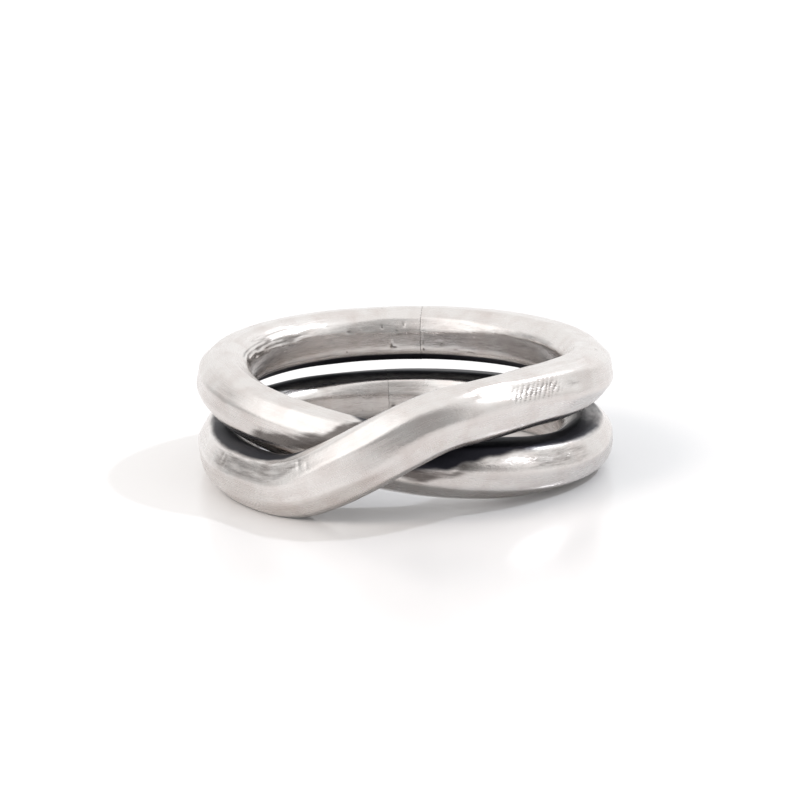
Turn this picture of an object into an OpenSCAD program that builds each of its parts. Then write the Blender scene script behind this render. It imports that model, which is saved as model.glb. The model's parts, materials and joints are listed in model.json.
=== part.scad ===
// Two-piece crossover ring: two open silver bands interlinked so that they make
// two stacked turns and one crossing.
// The frame: the origin is the centre of the finger hole at mid-height, +Z runs along
// the hole, and the crossing faces -Y.

/* [Ring] */
// Radius of the finger hole
bore_r = 9.5; // [8.5:0.1:10.5]
// Thickness of the forged strand
strand_d = 3.4; // [3:0.1:3.5]
// Height between the middles of the two turns
turn_pitch = 4.1; // [4:0.05:4.5]
// How deep the mandrel has flattened the inside of the strand
inner_flat = 0.12; // [0.1:0.01:0.2]
// How deep the lower edge is worn flat
foot_flat = 0.1; // [0.05:0.01:0.15]

/* [Over band] */
// Angle from the front at which the over band passes mid-height
over_cross = -11; // [-14:1:-8]
// Angle that the over band takes from mid-height to either turn
over_span = 25; // [23:1:28]
// How far the middle of the over band swings outwards to pass the under band
bulge = 3; // [2.95:0.05:3.4]
// Angle from the front of the widest point of the bulge
bulge_at = -12; // [-14:1:-10]
// Angles over which the bulge dies away to the left and to the right
bulge_spans = [76, 58]; // [70:1:80]
// How far the over band rises above its turn after the crossing
crest = 0.5; // [0.3:0.05:0.6]
// Angle from the front of that crest
crest_at = 38; // [34:1:42]
// Angle over which the crest dies away on either side
crest_span = 72; // [66:1:78]

/* [Under band] */
// Angle from the front at which the under band passes mid-height
under_cross = -18; // [-20:1:-16]
// Angle that the under band takes from mid-height to either turn
under_span = 82; // [78:1:86]

/* [Flattening] */
// Share of its thickness that each strand loses where they cross
flattening = 0.12; // [0.1:0.01:0.14]
// Angle from the front of the flattest point
flat_at = -13; // [-16:1:-10]
// Angle over which the flattening dies away on either side
flat_span = 55; // [45:1:65]

/* [Seams] */
// Distance of each seam from the centre line of the back
seam_x = 1.2; // [0.8:0.1:1.6]
// Width of the hairline gap between two facing ends
seam_gap = 0.08; // [0.06:0.01:0.12]

/* [Hidden] */
turn_r = bore_r + strand_d / 2 - inner_flat;
half_pitch = turn_pitch / 2;
foot_z = -half_pitch - strand_d / 2 + foot_flat;
seam_angle = asin(seam_x / turn_r);
gap_angle = asin(seam_gap / 2 / turn_r);
over_end = 180 - seam_angle - gap_angle;
under_end = 180 + seam_angle - gap_angle;
sides = 16;
rings = 92;
slope_step = 0.25;
silver = [0.8, 0.79, 0.77];
dark_silver = [0.66, 0.65, 0.64];
cutter = 40;

// -1 to 1 along a quarter sine each way, level outside
function ramp(t) = sin(90 * max(-1, min(1, t)));

// 1 at t = 0, falling smoothly to 0 at t = -1 and 1
function hump(t) = pow(cos(90 * min(1, abs(t))), 2);

// The angle a runs from the front, positive towards +X.
function on_ring(r, a, z) = [r * sin(a), -r * cos(a), z];

// How much of each strand's thickness is gone at the angle a
function pressed(a) = flattening * hump((a - flat_at) / flat_span);

// Lower turn on the left, across the front on the outside, upper turn on the right
function over_path(a) = on_ring(
    turn_r + bulge * hump((a - bulge_at) / (a < bulge_at ? bulge_spans[0] : bulge_spans[1])),
    a,
    half_pitch * ramp((a - over_cross) / over_span) + crest * hump((a - crest_at) / crest_span));

// Upper turn on the left, down across the front on the inside, lower turn on the right
function under_path(a) = on_ring(
    turn_r - pressed(a) * strand_d / 2,
    a,
    -half_pitch * ramp((a - under_cross) / under_span));

function unit(v) = v / norm(v);

// One cross-section, square to the path and with a flat facing the finger
function section(at, ahead, behind, thin) =
    let (along = unit(ahead - behind),
         inwards = [-at[0], -at[1], 0],
         inner = unit(inwards - (inwards * along) * along),
         upper = cross(along, inner),
         flat = 180 / sides)
    [for (i = [0:sides - 1])
        let (c = (2 * i + 1) * flat)
        at + strand_d / 2 * ((1 - thin) * cos(c) * inner + sin(c) * upper)];

// A closed strand through its cross-sections
module strand(sections) {
    count = len(sections);
    walls = [for (j = [0:count - 2], i = [0:sides - 1])
        let (a = j * sides + i,
             b = j * sides + (i + 1) % sides)
        each [[a, b + sides, b], [a, a + sides, b + sides]]];
    first_end = [for (i = [0:sides - 1]) i];
    last_end = [for (i = [sides - 1:-1:0]) (count - 1) * sides + i];
    polyhedron([for (s = sections) each s], concat(walls, [first_end, last_end]));
}

// The finger hole is bored true and the lower edge is worn flat.
module finished() {
    difference() {
        children();
        cylinder(r = bore_r, h = cutter, center = true, $fn = 180);
        translate([0, 0, foot_z - cutter / 2]) cube(cutter, center = true);
    }
}

module over_band() {
    color(silver) finished() strand([for (k = [0:rings])
        let (a = over_end * (2 * k / rings - 1))
        section(over_path(a), over_path(a + slope_step), over_path(a - slope_step), pressed(a))]);
}

module under_band() {
    color(dark_silver) finished() strand([for (k = [0:rings])
        let (a = under_end * (2 * k / rings - 1))
        section(under_path(a), under_path(a + slope_step), under_path(a - slope_step), pressed(a))]);
}

over_band();
under_band();
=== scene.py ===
import json
import math
import bmesh
import bpy
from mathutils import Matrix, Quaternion, Vector, noise


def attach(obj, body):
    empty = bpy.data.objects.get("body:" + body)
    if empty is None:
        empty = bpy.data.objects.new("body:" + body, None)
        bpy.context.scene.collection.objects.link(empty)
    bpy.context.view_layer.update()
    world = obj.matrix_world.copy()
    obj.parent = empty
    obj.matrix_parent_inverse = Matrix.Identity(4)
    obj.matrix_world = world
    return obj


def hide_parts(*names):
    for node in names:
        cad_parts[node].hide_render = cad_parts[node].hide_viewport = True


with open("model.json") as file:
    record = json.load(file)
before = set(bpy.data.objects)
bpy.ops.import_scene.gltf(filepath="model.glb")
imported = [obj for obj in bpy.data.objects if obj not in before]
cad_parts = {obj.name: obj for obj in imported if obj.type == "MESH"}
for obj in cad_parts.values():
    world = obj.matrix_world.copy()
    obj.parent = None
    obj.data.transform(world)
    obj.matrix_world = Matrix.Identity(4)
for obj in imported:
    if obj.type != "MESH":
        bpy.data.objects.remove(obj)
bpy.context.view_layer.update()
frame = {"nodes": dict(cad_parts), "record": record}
mounts = {m["name"]: m for m in frame["record"]["mounts"]}
print("frame loaded:", sorted(frame["nodes"]))

# shaping is done in millimetres, and the finished mesh is scaled to metres
metre = 0.001

# the bar that both bands are forged from, and the hole and foot that the frame gives
bar = {
    "radius": 1.74,
    "pitch": 4.1,  # between the middles of the two turns
    "boreRadius": mounts["finger_hole"]["dims"]["r_mm"],
    "boreFlat": 0.16,  # how deep the finger hole cuts into the bar
    "footHeight": mounts["rest_face"]["pos_m"][2] / metre,
    "flattening": 0.12,  # share of its thickness that each band loses where they cross
    "spreading": 1.25,  # how much wider it gets there for each share it loses
    "flatAt": -13,
    "flatSpan": 55,
    "seamOffset": 1.2,
    "seamGap": 0.02,
    "endRounding": 0.01,
    "endSteps": 4,
    "steps": 1060,
    "around": 84,
    "edgeSoftness": 0.05,  # how softly the bore and the foot cut the bar
}
turnRadius = bar["boreRadius"] + bar["radius"] - bar["boreFlat"]
seamAngle = math.degrees(math.asin(bar["seamOffset"] / turnRadius))
gapAngle = math.degrees(math.asin(bar["seamGap"] / 2 / turnRadius))


def linear(code):  # sRGB hex to linear
    parts = [int(code[i:i + 2], 16) / 255 for i in (1, 3, 5)]
    return [p / 12.92 if p <= 0.04045 else ((p + 0.055) / 1.055) ** 2.4 for p in parts] + [1.0]


def smooth(low, high, x):  # rises from 0 at low to 1 at high
    t = min(1.0, max(0.0, (x - low) / (high - low)))
    return t * t * (3 - 2 * t)


def mix(a, b, share):
    return a + (b - a) * share


def softMax(a, b, softness):
    return 0.5 * (a + b + math.sqrt((a - b) ** 2 + softness ** 2))


def ramp(t):
    return math.sin(math.pi / 2 * max(-1.0, min(1.0, t)))


def hump(t):
    return math.cos(math.pi / 2 * min(1.0, abs(t))) ** 2


def turned(a, b):  # the smaller angle between two directions, in degrees, with its sign
    return (a - b + 180) % 360 - 180


def onRing(radius, angle, height):  # angle runs from the front, positive towards +X
    a = math.radians(angle)
    return Vector((radius * math.sin(a), -radius * math.cos(a), height))


def pressed(angle):  # share of the bar's thickness lost where the bands cross
    return bar["flattening"] * hump((angle - bar["flatAt"]) / bar["flatSpan"])


def between(points, x):  # smooth curve through a few (x, value) points
    if x <= points[0][0]:
        return points[0][1]
    for (x0, y0), (x1, y1) in zip(points, points[1:]):
        if x <= x1:
            return mix(y0, y1, smooth(x0, x1, x))
    return points[-1][1]


# Angles run from the front, positive towards +X. Round the bar, 0 faces the finger, 90 is up and
# 180 faces out. All lengths are in mm.
# flats: depth as a share of the radius, and the way each faces round the bar at some angles
# oxide and tarnish strips, partly painted shade: angle, the two edges round the bar, and strength
# marks: angle, way round the bar, length, width, depth, and how dark it is
# swells: angle, way round the bar, half the span along and round the bar in degrees, and height

# low on the left, over the front from lower left to upper right, high on the right
overBand = {
    "name": "overBandForged",
    "body": "over_band",
    "node": "over_band",
    "crossing": -11,
    "span": 25,
    "bulge": 3.0,
    "bulgeAt": -12,
    "bulgeSpans": (76, 58),
    "crest": 0.5,
    "crestAt": 38,
    "crestSpan": 72,
    "end": 180 - seamAngle - gapAngle,
    "flats": [
        (.060, [(-60, 226), (-28, 222), (-10, 219), (6, 208), (22, 198), (44, 198), (54, 212), (70, 222),
                (110, 214)]),
        (.056, [(-60, 190), (-28, 186), (-10, 174), (6, 160), (13, 156), (18, 140), (25, 140), (31, 150),
                (46, 152), (56, 158), (70, 168), (110, 176)]),
        (.050, [(-60, 150), (-28, 147), (-15, 134), (6, 120), (17, 100), (28, 105), (36, 108), (54, 117),
                (70, 128), (110, 140)]),
        (.040, [(-60, 108), (-28, 106), (-15, 96), (6, 84), (22, 64), (44, 78), (70, 96)]),
        (.045, [(-60, 62), (-15, 52), (22, 38), (70, 52)]),
        (.000, [(0, 24)]),
        (.040, [(0, -45)]),
        (.040, [(0, -92)]),
        (.030, [(0, -118)]),
    ],
    # oxide strips: near-black where the turns face each other, part oxide and part painted shade
    "oxideAndShadeTop": [(-110, 58, 112, .95), (-85, 66, 122, .8), (-68, 70, 122, 1), (-40, 72, 120, 1),
                 (-30, 74, 108, 1), (-18, 74, 84, 1), (-12, 74, 84, 0)],
    "oxideAndShadeUnder": [(-14, 268, 290, 0), (0, 262, 300, 1), (30, 252, 318, 1), (90, 244, 318, 1),
                   (140, 226, 318, .95)],
    # this tarnish strip is painted shade: the grey of facets that reflect the dim front
    "tarnishAndShade": [(-66, 140, 150, 0), (-52, 124, 162, .5), (-44, 120, 168, .5), (-30, 116, 162, .5),
                (-22, 112, 138, .5), (-16, 106, 120, 0)],
    "marks": [
        (14.9, 121, .10, .05, .05, .7), (15.6, 130, .13, .05, .05, .7), (16.4, 140, .16, .06, .05, .7),
        (17.3, 147, .10, .05, .03, .4), (80.3, 116, .09, .09, .06, .6), (62, 100, .10, .08, .03, .3),
        (172.6, 333, .08, .13, .06, 1), (172.9, 352, .05, .30, .03, .5), (160, 336, .40, .10, .04, .7),
        (154, 330, .50, .10, .04, .6), (166, 350, .30, .06, .03, .4), (-159.4, 340, .06, .05, .03, .8),
        (-163.4, 342, .07, .05, .03, .8), (-167.4, 342, .05, .05, .03, .8), (-52, 139, .12, .32, .04, .5),
        (-49.5, 148, .10, .24, .04, .5),
        (-45, 138, .22, .24, .04, .5), (-42, 150, .12, .20, .03, .4), (-35, 140, .30, .25, .02, .3),
        (-22.6, 134, .07, .30, .03, 0), (-20.5, 140, .06, .26, .02, 0), (53, 160, .75, .32, .05, .45),
        (9, 205, .06, .05, .03, .5), (30, 222, .06, .05, .03, .5), (-3, 186, .05, .05, .03, .5),
    ],
    "swells": [(42, 268, 40, 80, .2)],
    "chatter": {"from": 23, "to": 50, "around": 154, "halfWidth": 34, "pitch": .42, "depth": .055,
                "tone": .8},
    "scored": {"from": -30, "to": -10, "around": 134, "halfWidth": 20, "depth": .02},
}

# high on the left, down across the front inside the over band, low on the right
underBand = {
    "name": "underBandForged",
    "body": "under_band",
    "node": "under_band",
    "crossing": -18,
    "span": 82,
    "end": 180 + seamAngle - gapAngle,
    "flats": [
        (.045, [(-110, 208), (-60, 222), (-25, 222), (15, 235), (60, 238), (110, 214)]),
        (.050, [(-110, 164), (-60, 178), (-25, 180), (15, 194), (60, 196), (110, 172)]),
        (.052, [(-110, 132), (-60, 138), (-25, 138), (15, 152), (24, 143), (32, 145), (40, 153), (60, 154),
                (110, 132)]),
        (.045, [(-110, 98), (-60, 97), (-25, 97), (15, 106), (60, 106), (110, 96)]),
        (.040, [(-110, 60), (-60, 58), (15, 62), (110, 60)]),
        (.000, [(0, 24)]),
        (.040, [(0, -46)]),
        (.040, [(0, -86)]),
        (.030, [(0, -112)]),
    ],
    # oxide strips: near-black where the turns face each other, part oxide and part painted shade, with the
    # over band's shadow on this band
    "oxideAndShadeTop": [(-26, 56, 66, 0), (-14, 60, 100, 1), (-4, 60, 190, 1), (10, 56, 178, 1), (17, 54, 158, 1),
                 (24, 54, 142, 1), (32, 54, 131, 1), (50, 54, 128, 1), (68, 54, 132, .9), (84, 54, 132, .62),
                 (120, 56, 118, .8), (150, 58, 114, .95)],
    "oxideAndShadeUnder": [(-90, 226, 318, 1), (-62, 240, 318, 1), (-46, 232, 318, 1), (-34, 222, 318, 1),
                   (-28, 212, 318, 1), (-18, 180, 318, 1), (-8, 240, 318, 0)],
    # tarnish strips: real tarnish streaks near the crossing, with painted shade where the bar runs under the
    # over band and on the hammered facet to the right
    "tarnishAndShade": [(-52, 200, 206, 0), (-43, 180, 204, 1), (-34, 170, 198, 1), (-25, 152, 190, 1),
                (-19, 118, 176, 1), (-14, 90, 170, 1), (4, 178, 206, 1), (12, 176, 192, .8),
                (17, 142, 178, .7), (24, 150, 174, .25), (32, 150, 172, .15), (40, 134, 172, .55),
                (56, 134, 172, .45), (66, 140, 165, 0)],
    "marks": [
        (-171.7, 26, .09, .12, .05, .9), (-179.9, 30, .08, .10, .05, .9), (-177.2, 16, .14, .07, .04, .8),
        (-158.5, 20, .26, .09, .05, .9), (-157.6, 334, .09, .10, .05, .9), (-150, 8, .50, .16, .03, .5),
        (-184.1, 2, .06, .06, .04, .6), (-175.2, 343, .10, .20, .07, 1), (-176.2, 338, .22, .10, .07, 1),
        (184.5, 348, .30, .13, .08, 1), (-106, 22, .34, .10, .05, .6), (-112, 32, .30, .09, .05, .5),
        (-117, 20, .34, .10, .05, .5), (-121, 34, .26, .10, .05, .6), (-125, 24, .24, .12, .05, .4),
        (-130, 36, .20, .10, .05, .5), (-134, 28, .22, .12, .04, .3), (-98, 34, .36, .10, .04, .4),
        (-90, 26, .40, .12, .04, .4), (-104, 44, .26, .10, .04, .3), (-172.7, 82, .06, .06, .04, .5),
        (-59, 150, .50, .30, .04, .1), (-150, 38, .30, .10, .03, .4), (-160, 20, .26, .10, .03, .3),
        (36.8, 178, .09, .07, .03, 0), (57.3, 180, .12, .07, .03, 0),
    ],
    "swells": [(32, 84, 34, 70, .17), (62, 268, 34, 70, -.2)],
    "chatter": {"from": 14, "to": 62, "around": 151, "halfWidth": 30, "pitch": .45, "depth": .016,
                "tone": .35},
    "scored": {"from": -150, "to": -80, "around": 30, "halfWidth": 46, "depth": .09},
}

# both bands share these flats at the back, as facing and depth, so that they run on across the seams
backFlats = [(208, .05), (164, .05), (127, .05), (96, .05), (66, .05), (26, .085), (-49, .04), (-96, .04),
             (-124, .04)]


def overPath(angle):
    band = overBand
    side = band["bulgeSpans"][0 if angle < band["bulgeAt"] else 1]
    out = band["bulge"] * hump((angle - band["bulgeAt"]) / side)
    lift = band["crest"] * hump((angle - band["crestAt"]) / band["crestSpan"])
    rise = bar["pitch"] / 2 * ramp((angle - band["crossing"]) / band["span"])
    return onRing(turnRadius + out, angle, rise + lift)


def underPath(angle):
    drop = bar["pitch"] / 2 * ramp((angle - underBand["crossing"]) / underBand["span"])
    return onRing(turnRadius - pressed(angle) * bar["radius"], angle, -drop)


def axes(path, angle):  # where the bar is, and its directions along, towards the finger and up
    at = path(angle)
    along = (path(angle + 0.25) - path(angle - 0.25)).normalized()
    inward = Vector((-at.x, -at.y, 0))
    inward = (inward - inward.dot(along) * along).normalized()
    return at, along, inward, along.cross(inward)


def stations(path, end):  # cross-sections along a band: close together where the ends are rounded
    rim = bar["endSteps"]
    length = math.radians(2 * end) * turnRadius
    spacing = (length - 2 * bar["endRounding"]) / (bar["steps"] - 2 * rim)
    found = []
    for k in range(bar["steps"] + 1):
        edge = min(k, bar["steps"] - k)
        turn = math.pi / 2 * min(edge, rim) / rim
        distance = bar["endRounding"] * (1 - math.cos(turn)) + spacing * max(0, edge - rim)
        rounded = bar["endRounding"] * (1 - math.sin(turn))
        angle = end - math.degrees(distance / turnRadius)
        found.append((angle if k > bar["steps"] / 2 else -angle, rounded))
    return found


# how evenly the hammer, file and chisel were used: lengths in mm, turns in degrees
forging = {
    "crispness": 95,  # of the ridges between the flats
    "backFlats": (138, 176),  # angles over which the flats change to those of the back
    "blow": 0.5,  # share by which the depth of a flat varies
    "rock": 3,  # turn of a flat from blow to blow
    "dents": 0.02,
    "waves": 0.026,  # long and low, left by the file
    "chatterFade": 5,
    "chatterLean": 0.9,
    "chatterJitter": 0.35,
    "scoreFade": 16,
    "scoreWidth": 0.4,
    "markReach": 8,
}


def flatsAt(band, angle, at):  # the flats where the bar passes this place, rocked a little by each blow
    back = smooth(*forging["backFlats"], abs(angle))
    found = []
    for i, ((depth, ways), (backWay, backDepth)) in enumerate(zip(band["flats"], backFlats)):
        way = between(ways, angle)
        blow = noise.noise(at * 0.26 + Vector((0, 0, i * 7.3)))
        rock = forging["rock"] * noise.noise(at * 0.17 + Vector((0, 0, i * 5.1 + 40)))
        deep = mix(depth, backDepth, back) * (1 + forging["blow"] * blow)
        found.append((way + turned(backWay, way) * back + rock, 1 - deep))
    return found


def forgedShare(flats, around):  # share of the bar's radius left by the flats, with softly crisp ridges
    total = 1.0
    for way, share in flats:
        away = math.cos(math.radians(around - way))
        if away > 0.75:  # a flat that faces further away adds nothing
            total += (away / share) ** forging["crispness"]
    return total ** (-1 / forging["crispness"])


def markDepth(marks, angle, around):  # depth of the marks here, and how dark they are
    depth = dark = 0.0
    for where, way, length, width, deep, tone in marks:
        off = abs(turned(around, way))
        if off < 30:
            x = math.radians(angle - where) * turnRadius / length
            y = math.radians(off) * bar["radius"] / width
            share = math.exp(-x * x - y * y)
            depth += deep * share
            dark = max(dark, tone * share)
    return depth, dark


def swellHeight(swells, angle, around):  # where the bar was left fuller or slimmer
    return sum(height * hump((angle - where) / along) * hump(turned(around, way) / across)
               for where, way, along, across, height in swells)


def chatterDepth(chatter, angle, around, run):  # a row of cuts left by a tool that skipped
    fade = forging["chatterFade"]
    window = smooth(chatter["from"], chatter["from"] + fade, angle)
    window *= 1 - smooth(chatter["to"] - fade, chatter["to"], angle)
    window *= hump((around - chatter["around"]) / chatter["halfWidth"])
    if window == 0:
        return 0.0, 0.0, 0.0
    slant = math.radians(chatter["around"] - around) * bar["radius"] * forging["chatterLean"]
    jitter = forging["chatterJitter"] * noise.noise(Vector((run * 1.9, around * 0.02, 3.0)))
    wave = 0.5 + 0.5 * math.cos(2 * math.pi * ((run - slant) / chatter["pitch"] + jitter))
    return chatter["depth"] * wave * window, chatter["tone"] * wave * window, window


def scoreDepth(scored, angle, around, run):  # long scores left along the bar by the forging
    fade = forging["scoreFade"]
    window = smooth(scored["from"], scored["from"] + fade, angle)
    window *= 1 - smooth(scored["to"] - fade, scored["to"], angle)
    window *= hump(turned(around, scored["around"]) / scored["halfWidth"])
    if window == 0:
        return 0.0
    line = noise.noise(Vector((run * 0.28, around * 0.14, 5.0)))
    return scored["depth"] * window * (1 - smooth(0, forging["scoreWidth"], abs(line)))


# how far each kind of strip fades at its inner and outer edges, in degrees round the bar
fades = {
    "oxideAndShadeTop": (24, 12),
    "oxideAndShadeUnder": (6, 5),
    "tarnishAndShade": (16, 10),
}
stainShadeAndWear = {
    "boreShade": 0.3,  # painted shade on the inside of the ring, the side that faces the finger
    "boreShadeEdges": (50, 30),
    "darkScore": 0.12,  # a score this deep is black
    "ridges": (0.955, 0.985),  # shares of the radius between which wear polishes the ridges
}


def stripShare(band, strip, angle, around):  # 1 inside a strip round the bar, 0 outside, soft at its edges
    points = band[strip]
    inner, outer = fades[strip]
    low = between([(a, lo) for a, lo, hi, strength in points], angle)
    high = between([(a, hi) for a, lo, hi, strength in points], angle)
    inside = smooth(low - inner, low + inner, around) * (1 - smooth(high - outer, high + outer, around))
    return inside * between([(a, strength) for a, lo, hi, strength in points], angle)


def forge(band, path):
    mesh = bmesh.new()
    bmesh.ops.create_grid(mesh, x_segments=bar["steps"], y_segments=bar["around"], size=0.5)
    straight = mesh.verts.layers.float_vector.new("bar")
    patinaAndShade = mesh.verts.layers.float.new("patinaAndShade")
    tarnishAndShade = mesh.verts.layers.float.new("tarnishAndShade")
    wear = mesh.verts.layers.float.new("wear")
    tooled = mesh.verts.layers.float.new("tooled")
    rings = []
    run = 0.0
    last = None
    for angle, rounded in stations(path, band["end"]):
        at, along, inward, upward = axes(path, angle)
        run += (at - last).length if last else 0.0
        last = at
        marks = [m for m in band["marks"] if abs(m[0] - angle) < forging["markReach"]]
        rings.append((angle, rounded, at, inward, upward, run, flatsAt(band, angle, at), marks))
    for v in mesh.verts:
        angle, rounded, at, inward, upward, run, flats, marks = rings[round((v.co.x + 0.5) * bar["steps"])]
        around = 360 * (v.co.y + 0.5) % 360
        c = math.radians(around)
        spoke = math.cos(c) * inward + math.sin(c) * upward
        share = forgedShare(flats, around)
        dent = noise.noise((at + spoke * bar["radius"]) * 0.55) * 0.5 + 0.5
        pit, dark = markDepth(marks, angle, around)
        cut, groove, window = chatterDepth(band["chatter"], angle, around, run)
        score = scoreDepth(band["scored"], angle, around, run)
        filed = noise.noise(Vector((run * 0.13, 3.4 * math.cos(c), 3.4 * math.sin(c))))
        uneven = forging["dents"] * dent
        radius = bar["radius"] * share - uneven - forging["waves"] * filed - pit - cut - score - rounded
        radius += swellHeight(band["swells"], angle, around)
        flat = 1 - pressed(angle)
        spread = 1 + bar["spreading"] * pressed(angle)
        place = at + radius * (flat * math.cos(c) * inward + spread * math.sin(c) * upward)
        reach = math.hypot(place.x, place.y)
        bored = softMax(reach, bar["boreRadius"] + rounded + pit, bar["edgeSoftness"]) / reach
        place.x *= bored
        place.y *= bored
        place.z = softMax(place.z, bar["footHeight"], bar["edgeSoftness"])
        v.co = place
        v[straight] = Vector((run, math.cos(c) * bar["radius"], math.sin(c) * bar["radius"]))
        # patina: part oxide, part painted shade where the turns face and shade each other
        v[patinaAndShade] = max(stripShare(band, "oxideAndShadeTop", angle, around),
                        stripShare(band, "oxideAndShadeUnder", angle, around))
        # painted shade: the inside of the ring is darkened and browned on the side that faces the finger
        innerShade = stainShadeAndWear["boreShade"] * smooth(*stainShadeAndWear["boreShadeEdges"], abs(turned(around, 0)))
        # dark marks, chatter grooves and scores are tarnish; the inner shade and parts of the strips are
        # painted shade
        v[tarnishAndShade] = max(dark, groove, score / stainShadeAndWear["darkScore"], innerShade,
                         stripShare(band, "tarnishAndShade", angle, around))
        v[wear] = smooth(*stainShadeAndWear["ridges"], share)
        v[tooled] = window
    bmesh.ops.remove_doubles(mesh, verts=mesh.verts, dist=1e-6)
    ends = [e for e in mesh.edges if e.is_boundary]
    caps = bmesh.ops.holes_fill(mesh, edges=ends, sides=0)["faces"]
    bmesh.ops.recalc_face_normals(mesh, faces=mesh.faces)
    for f in mesh.faces:
        f.smooth = f not in caps
    for e in ends:
        e.smooth = False
    return mesh


def finishPiece(mesh, band, finish):
    bmesh.ops.scale(mesh, vec=(metre, metre, metre), verts=mesh.verts)
    data = bpy.data.meshes.new(band["name"])
    mesh.to_mesh(data)
    mesh.free()
    piece = bpy.data.objects.new(band["name"], data)
    bpy.context.scene.collection.objects.link(piece)
    data.materials.append(finish)
    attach(piece, band["body"])
    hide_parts(band["node"])
    print(band["name"], "has", len(data.polygons), "faces")
    return piece


def addNode(tree, kind, values=None, links=None, **settings):
    node = tree.nodes.new("ShaderNode" + kind)
    for name, value in settings.items():
        setattr(node, name, value)
    for socket, value in (values or {}).items():
        node.inputs[socket].default_value = value
    for socket, source in (links or {}).items():
        tree.links.new(source, node.inputs[socket])
    return node


silver = {
    "bright": "#dcd8d5",
    "warm": "#c6bbb6",
    # the tarnish and oxide colours also serve for painted shade
    "tarnishAndShade": "#56504d",
    "oxideAndShade": "#2d2d33",
    "roughness": 0.27,
    "roughnessLess": 0.04,  # along the brightest brush marks
    "roughnessMore": 0.06,
    "ridgePolish": 0.05,
    "oxideAndShadeRoughness": 0.48,
    "brushDepth": 0.012,
    "grainDepth": 0.03,
}


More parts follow.
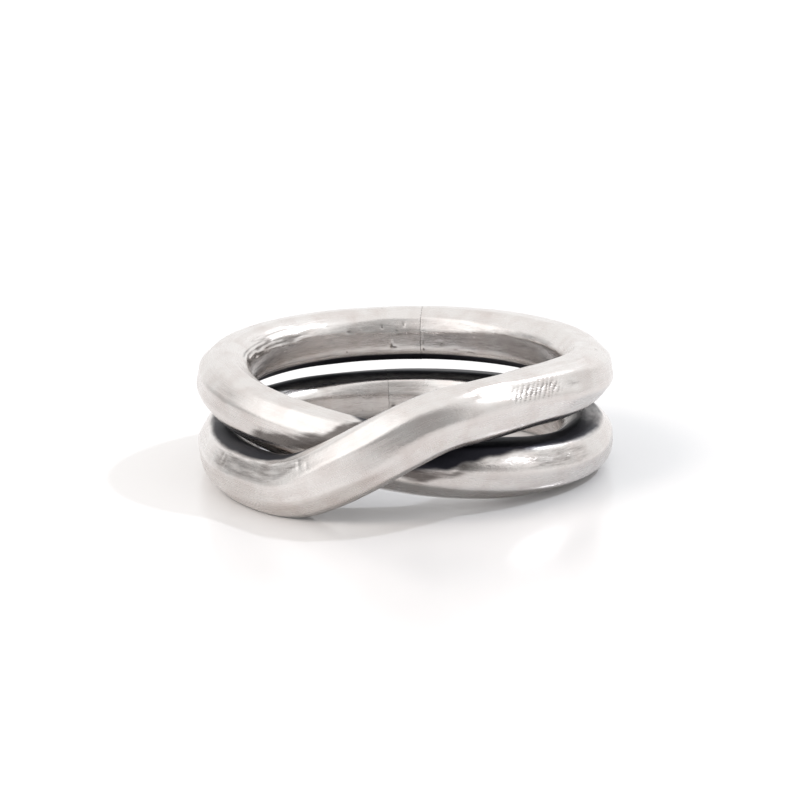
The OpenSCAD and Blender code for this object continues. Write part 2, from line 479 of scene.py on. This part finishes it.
# sterling silver, hammered, satin finished and oxidised: soft bright reflections streaked along the
# bar, warm grey tarnish in the marks with painted shade inside the ring and on some facets, and near-black
# between the turns, part oxide and part painted shade
def satinSilver():
    material = bpy.data.materials.new("oxidisedSatinSilver")
    material.use_nodes = True
    tree = material.node_tree
    tree.nodes.clear()
    bars = addNode(tree, "Attribute", attribute_name="bar").outputs["Vector"]
    patinaAndShade = addNode(tree, "Attribute", attribute_name="patinaAndShade").outputs["Fac"]
    tarnishAndShade = addNode(tree, "Attribute", attribute_name="tarnishAndShade").outputs["Fac"]
    wear = addNode(tree, "Attribute", attribute_name="wear").outputs["Fac"]
    tooled = addNode(tree, "Attribute", attribute_name="tooled").outputs["Fac"]
    # brush marks run along the bar, drawn 0.15 mm wide because the real ones are too fine to show
    lengthwise = addNode(tree, "Mapping", {"Scale": (0.5, 6.5, 6.5)}, {"Vector": bars})
    lines = addNode(tree, "TexNoise", {"Scale": 1.0, "Detail": 3.0, "Roughness": 0.55},
                    {"Vector": lengthwise.outputs[0]}).outputs["Fac"]
    grain = addNode(tree, "TexNoise", {"Scale": 7.0, "Detail": 3.0, "Roughness": 0.6},
                    {"Vector": bars}).outputs["Fac"]
    blotch = addNode(tree, "TexNoise", {"Scale": 0.7, "Detail": 4.0, "Roughness": 0.55},
                     {"Vector": bars}).outputs["Fac"]
    streaky = addNode(tree, "Mapping", {"Scale": (0.9, 2.6, 2.6)}, {"Vector": bars})
    ragged = addNode(tree, "TexNoise", {"Scale": 1.0, "Detail": 5.0, "Roughness": 0.65},
                     {"Vector": streaky.outputs[0]}).outputs["Fac"]
    edge = addNode(tree, "Math", {1: 0.5}, {0: ragged, 2: patinaAndShade}, operation="MULTIPLY_ADD")
    oxideAndShade = addNode(tree, "MapRange", {"From Min": 0.4, "From Max": 1.15}, {"Value": edge.outputs[0]},
                    interpolation_type="SMOOTHSTEP").outputs["Result"]
    scratchy = addNode(tree, "Mapping", {"Scale": (0.8, 5.0, 5.0)}, {"Vector": bars})
    streaks = addNode(tree, "TexNoise", {"Scale": 1.0, "Detail": 4.0, "Roughness": 0.6},
                      {"Vector": scratchy.outputs[0]}).outputs["Fac"]
    # the tarnish colour stands for real tarnish and for painted shade
    stainAndShade = addNode(tree, "Math", {1: 1.0}, {0: streaks, 2: tarnishAndShade}, operation="MULTIPLY_ADD")
    stainedAndShaded = addNode(tree, "MapRange", {"From Min": 0.68, "From Max": 1.45, "To Max": 0.9},
                      {"Value": stainAndShade.outputs[0]}, interpolation_type="SMOOTHSTEP").outputs["Result"]
    warmth = addNode(tree, "MapRange", {"From Min": 0.4, "From Max": 0.75, "To Max": 0.6}, {"Value": blotch})
    metal = addNode(tree, "Mix", {6: linear(silver["bright"]), 7: linear(silver["warm"])},
                    {0: warmth.outputs["Result"]}, data_type="RGBA")
    tarnishedAndShaded = addNode(tree, "Mix", {7: linear(silver["tarnishAndShade"])}, {0: stainedAndShaded, 6: metal.outputs[2]},
                     data_type="RGBA")
    # near-black between the turns: part oxide, part painted shade
    colour = addNode(tree, "Mix", {7: linear(silver["oxideAndShade"])}, {0: oxideAndShade, 6: tarnishedAndShaded.outputs[2]},
                     data_type="RGBA")
    satin = addNode(tree, "MapRange", {"From Min": 0.3, "From Max": 0.7,
                                       "To Min": silver["roughness"] - silver["roughnessLess"],
                                       "To Max": silver["roughness"] + silver["roughnessMore"]},
                    {"Value": lines})
    polished = addNode(tree, "Math", {1: -silver["ridgePolish"]}, {0: wear, 2: satin.outputs["Result"]},
                       operation="MULTIPLY_ADD")
    rough = addNode(tree, "Mix", {3: silver["oxideAndShadeRoughness"]}, {0: oxideAndShade, 2: polished.outputs[0]})
    brushed = addNode(tree, "Bump", {"Strength": 0.5, "Distance": silver["brushDepth"] * metre},
                      {"Height": lines})
    peened = addNode(tree, "MapRange", {"To Min": 0.3, "To Max": 1.0}, {"Value": tooled})
    grained = addNode(tree, "Bump", {"Distance": silver["grainDepth"] * metre},
                      {"Strength": peened.outputs["Result"], "Height": grain, "Normal": brushed.outputs[0]})
    surface = addNode(tree, "BsdfPrincipled", {"Metallic": 1.0},
                      {"Base Color": colour.outputs[2], "Roughness": rough.outputs[0],
                       "Normal": grained.outputs[0]})
    addNode(tree, "OutputMaterial", {}, {"Surface": surface.outputs[0]})
    return material


finish = satinSilver()
over = forge(overBand, overPath)
under = forge(underBand, underPath)
print("bands forged")
finishPiece(over, overBand, finish)
finishPiece(under, underBand, finish)

table = {
    "size": 3.0,
    "white": "#c9c9ca",
    "glow": 0.05,
    "roughness": 0.2,
    "ior": 1.49,
}


# opal acrylic sheet lit a little from below: an even white with a faint, slightly blurred reflection
def glossyTable():
    material = bpy.data.materials.new("whiteAcrylic")
    material.use_nodes = True
    tree = material.node_tree
    tree.nodes.clear()
    surface = addNode(tree, "BsdfPrincipled", {"Base Color": linear(table["white"]),
                                               "Roughness": table["roughness"], "IOR": table["ior"],
                                               "Emission Color": (1, 1, 1, 1),
                                               "Emission Strength": table["glow"]})
    addNode(tree, "OutputMaterial", {}, {"Surface": surface.outputs[0]})
    return material


def layTable():
    mesh = bmesh.new()
    bmesh.ops.create_grid(mesh, x_segments=2, y_segments=2, size=table["size"] / 2)
    bmesh.ops.translate(mesh, vec=(0, 0, bar["footHeight"] * metre), verts=mesh.verts)
    data = bpy.data.meshes.new("table")
    mesh.to_mesh(data)
    mesh.free()
    piece = bpy.data.objects.new("table", data)
    bpy.context.scene.collection.objects.link(piece)
    data.materials.append(glossyTable())


layTable()
print("table laid")

studio = {
    "low": 0.95,
    "overhead": 1.14,
    "backdrop": 1.12,
    # each patch is its level, azimuth, elevation, and its radius inside and outside its soft edge
    "patches": [
        (1.62, -62, 39, 13, 41),  # a bright panel, high on the left
        (0.46, 18, 9, 24, 50),  # the dark round the camera
        (0.7, -108, 8, 12, 36),  # an unlit corner, low on the left
    ],
    # each lamp is its azimuth, elevation, distance and width in metres, power in watts and colour
    "coolKey": (113, 47, 0.6, 0.035, 1.55, "#f4f8ff"),
    "warmFill": (-64, 42, 0.6, 0.3, 2.2, "#fff1e6"),
}


def aim(azimuth, elevation):  # azimuth runs from the front, positive towards +X
    a, e = math.radians(azimuth), math.radians(elevation)
    return Vector((math.sin(a) * math.cos(e), -math.cos(a) * math.cos(e), math.sin(e)))


def lightTent():  # a white tent: bright overhead and behind, dim round the camera
    world = bpy.data.worlds.new("lightTent")
    world.use_nodes = True
    bpy.context.scene.world = world
    tree = world.node_tree
    tree.nodes.clear()
    direction = addNode(tree, "TexCoord").outputs["Generated"]
    split = addNode(tree, "SeparateXYZ", {}, {0: direction})
    roof = addNode(tree, "MapRange", {"From Min": 0.1, "From Max": 0.65, "To Min": studio["low"],
                                      "To Max": studio["overhead"]},
                   {"Value": split.outputs[2]}, interpolation_type="SMOOTHSTEP")
    behind = addNode(tree, "MapRange", {"From Min": 0.5, "From Max": 0.85}, {"Value": split.outputs[1]},
                     interpolation_type="SMOOTHSTEP")
    walls = addNode(tree, "Mix", {3: studio["backdrop"]}, {0: behind.outputs[0], 2: roof.outputs[0]})
    level = walls.outputs[0]
    for patch, azimuth, elevation, core, edge in studio["patches"]:
        facing = addNode(tree, "VectorMath", {1: aim(azimuth, elevation)}, {0: direction},
                         operation="DOT_PRODUCT")
        inside = addNode(tree, "MapRange", {"From Min": math.cos(math.radians(edge)),
                                            "From Max": math.cos(math.radians(core))},
                         {"Value": facing.outputs["Value"]}, interpolation_type="SMOOTHSTEP")
        level = addNode(tree, "Mix", {3: patch}, {0: inside.outputs[0], 2: level}).outputs[0]
    glow = addNode(tree, "Background", {"Color": (1, 1, 1, 1)}, {"Strength": level})
    addNode(tree, "OutputWorld", {}, {"Surface": glow.outputs[0]})


def softbox(name, azimuth, elevation, distance, size, power, colour):
    light = bpy.data.lights.new(name, "AREA")
    light.shape = "DISK"
    light.size = size
    light.energy = power
    light.color = linear(colour)[:3]
    lamp = bpy.data.objects.new(name, light)
    bpy.context.scene.collection.objects.link(lamp)
    lamp.location = distance * aim(azimuth, elevation)
    lamp.rotation_euler = lamp.location.to_track_quat("Z", "Y").to_euler()
    return lamp


lightTent()
softbox("coolKey", *studio["coolKey"])
warmFill = softbox("warmFill", *studio["warmFill"])
warmFill.visible_glossy = False  # the tent already shows its window in the metal
print("lights set")

view = {
    "distance": 0.25,
    "elevation": 13.9,
    "lens": 182.9,
    "sensor": 36,
    "nearest": 0.01,
    "roll": -0.9,
    "left": 0.33 * metre,
    "up": 0.31 * metre,
}


def placeCamera():
    data = bpy.data.cameras.new("camera")
    data.lens = view["lens"]
    data.sensor_width = view["sensor"]
    data.clip_start = view["nearest"]
    camera = bpy.data.objects.new("camera", data)
    bpy.context.scene.collection.objects.link(camera)
    e = math.radians(view["elevation"])
    place = view["distance"] * Vector((0, -math.cos(e), math.sin(e)))
    turn = place.to_track_quat("Z", "Y") @ Quaternion((0, 0, 1), math.radians(view["roll"]))
    camera.location = place + turn @ Vector((-view["left"], view["up"], 0))
    camera.rotation_mode = "QUATERNION"
    camera.rotation_quaternion = turn
    bpy.context.scene.camera = camera


placeCamera()
bpy.context.scene.view_settings.view_transform = "Standard"

print("finished")
